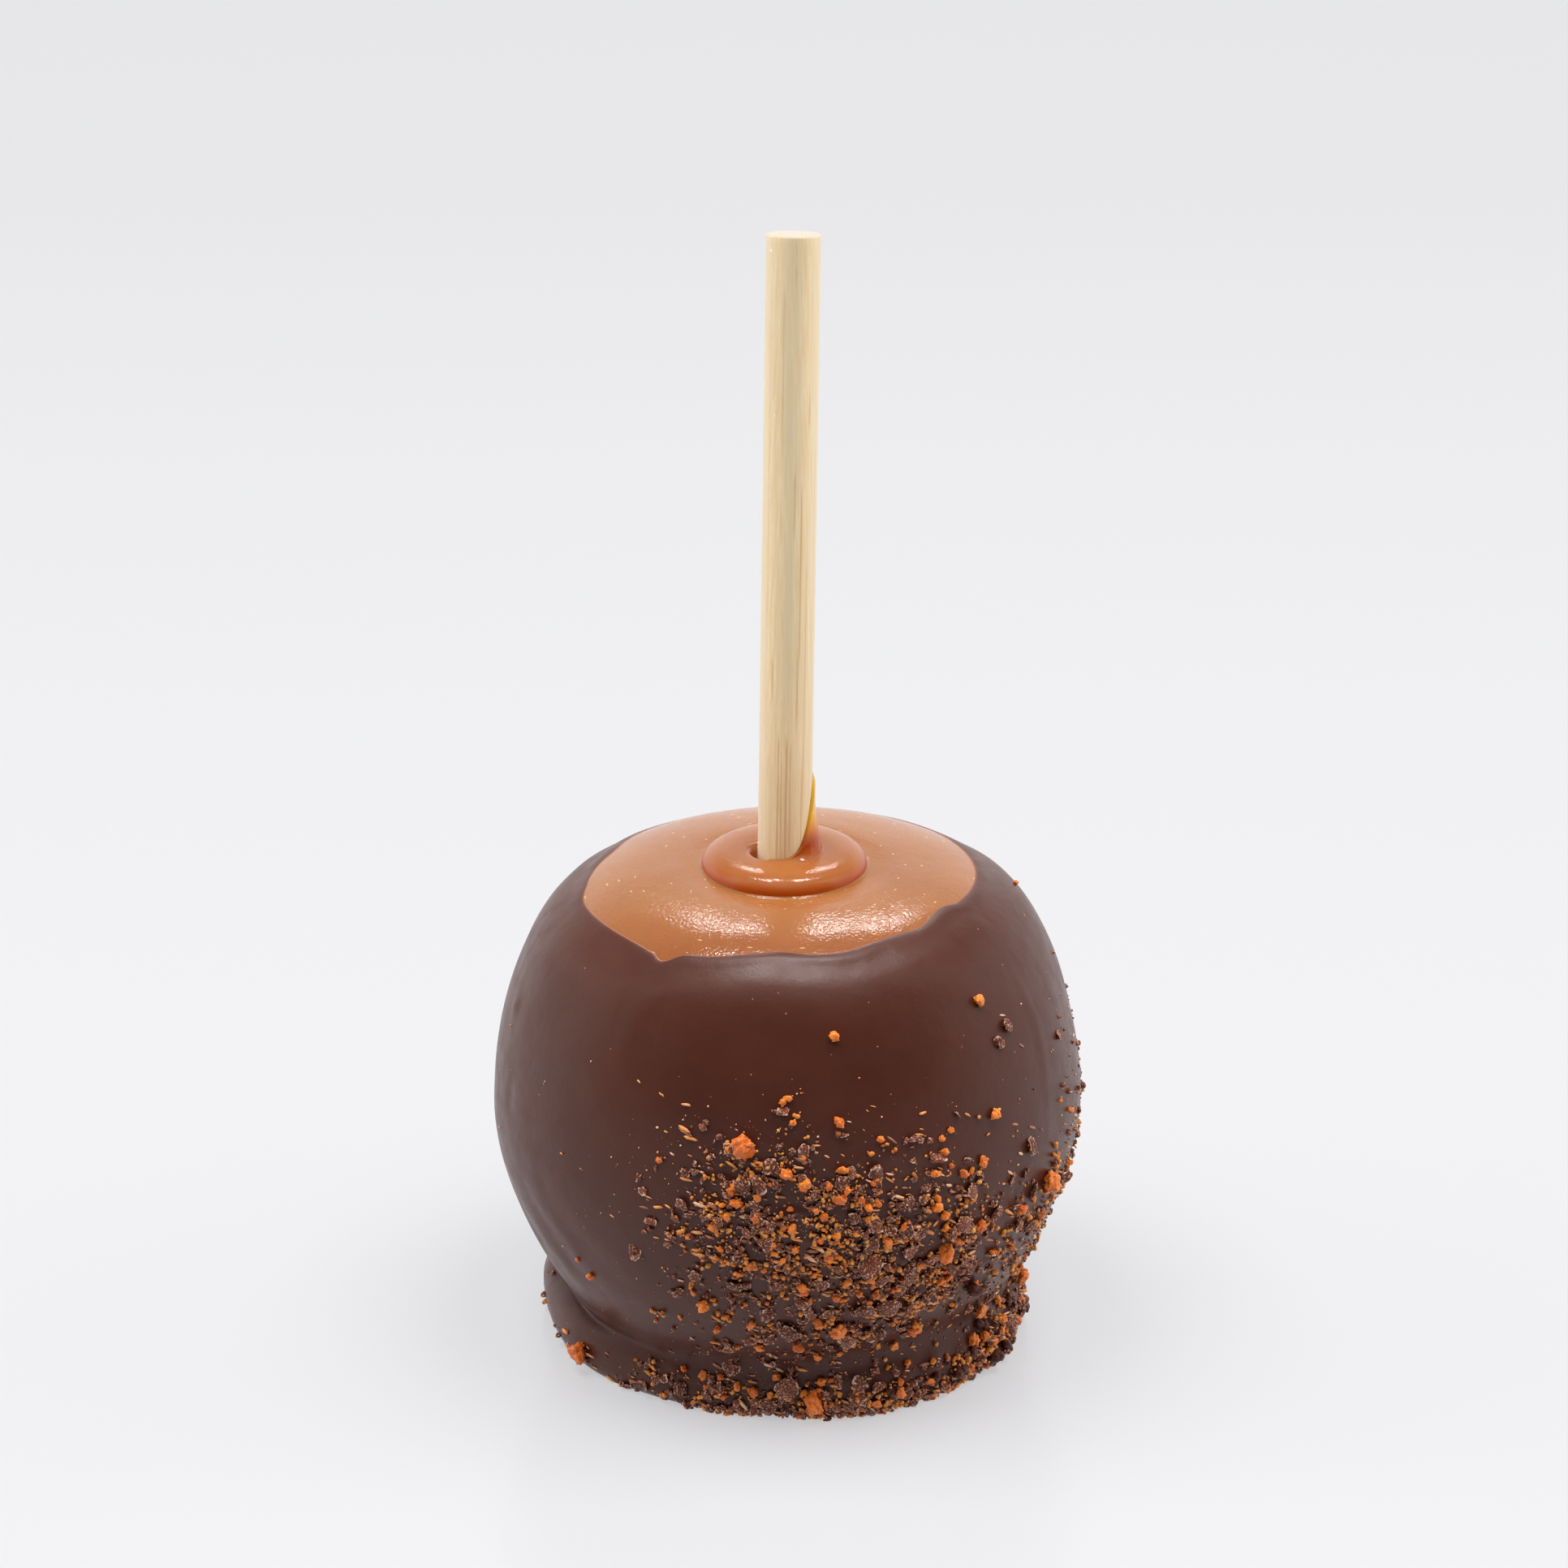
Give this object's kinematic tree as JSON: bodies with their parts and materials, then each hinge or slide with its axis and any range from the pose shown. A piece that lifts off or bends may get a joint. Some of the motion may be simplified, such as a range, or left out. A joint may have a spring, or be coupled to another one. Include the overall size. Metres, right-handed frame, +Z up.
{
  "type": "caramel apple",
  "caption": "Whole apple in caramel, dipped in milk chocolate over a rolled foot, with crumbs, held by a round bamboo stick.",
  "frame": {"origin": "middle of the flat base of the chocolate foot, on the surface that the apple stands on", "axes": "+Z up along the stick, +Y to the back, +X to the right of the side shown in the picture"},
  "size_m": [0.08, 0.08, 0.156],
  "materials": {
    "caramel": "smooth soft caramel, satin gloss",
    "chocolate": "set milk chocolate, soft satin",
    "caramel_pool": "clear glossy set caramel",
    "bamboo": "bare bamboo, matte, fine grain along its length",
    "toffee": "dry toffee crumbs, matte"
  },
  "bodies": {
    "root": {"caramel_body": "caramel", "chocolate_coat": "chocolate", "caramel_ring": "caramel_pool", "stick": "bamboo"}
  },
  "joints": []
}
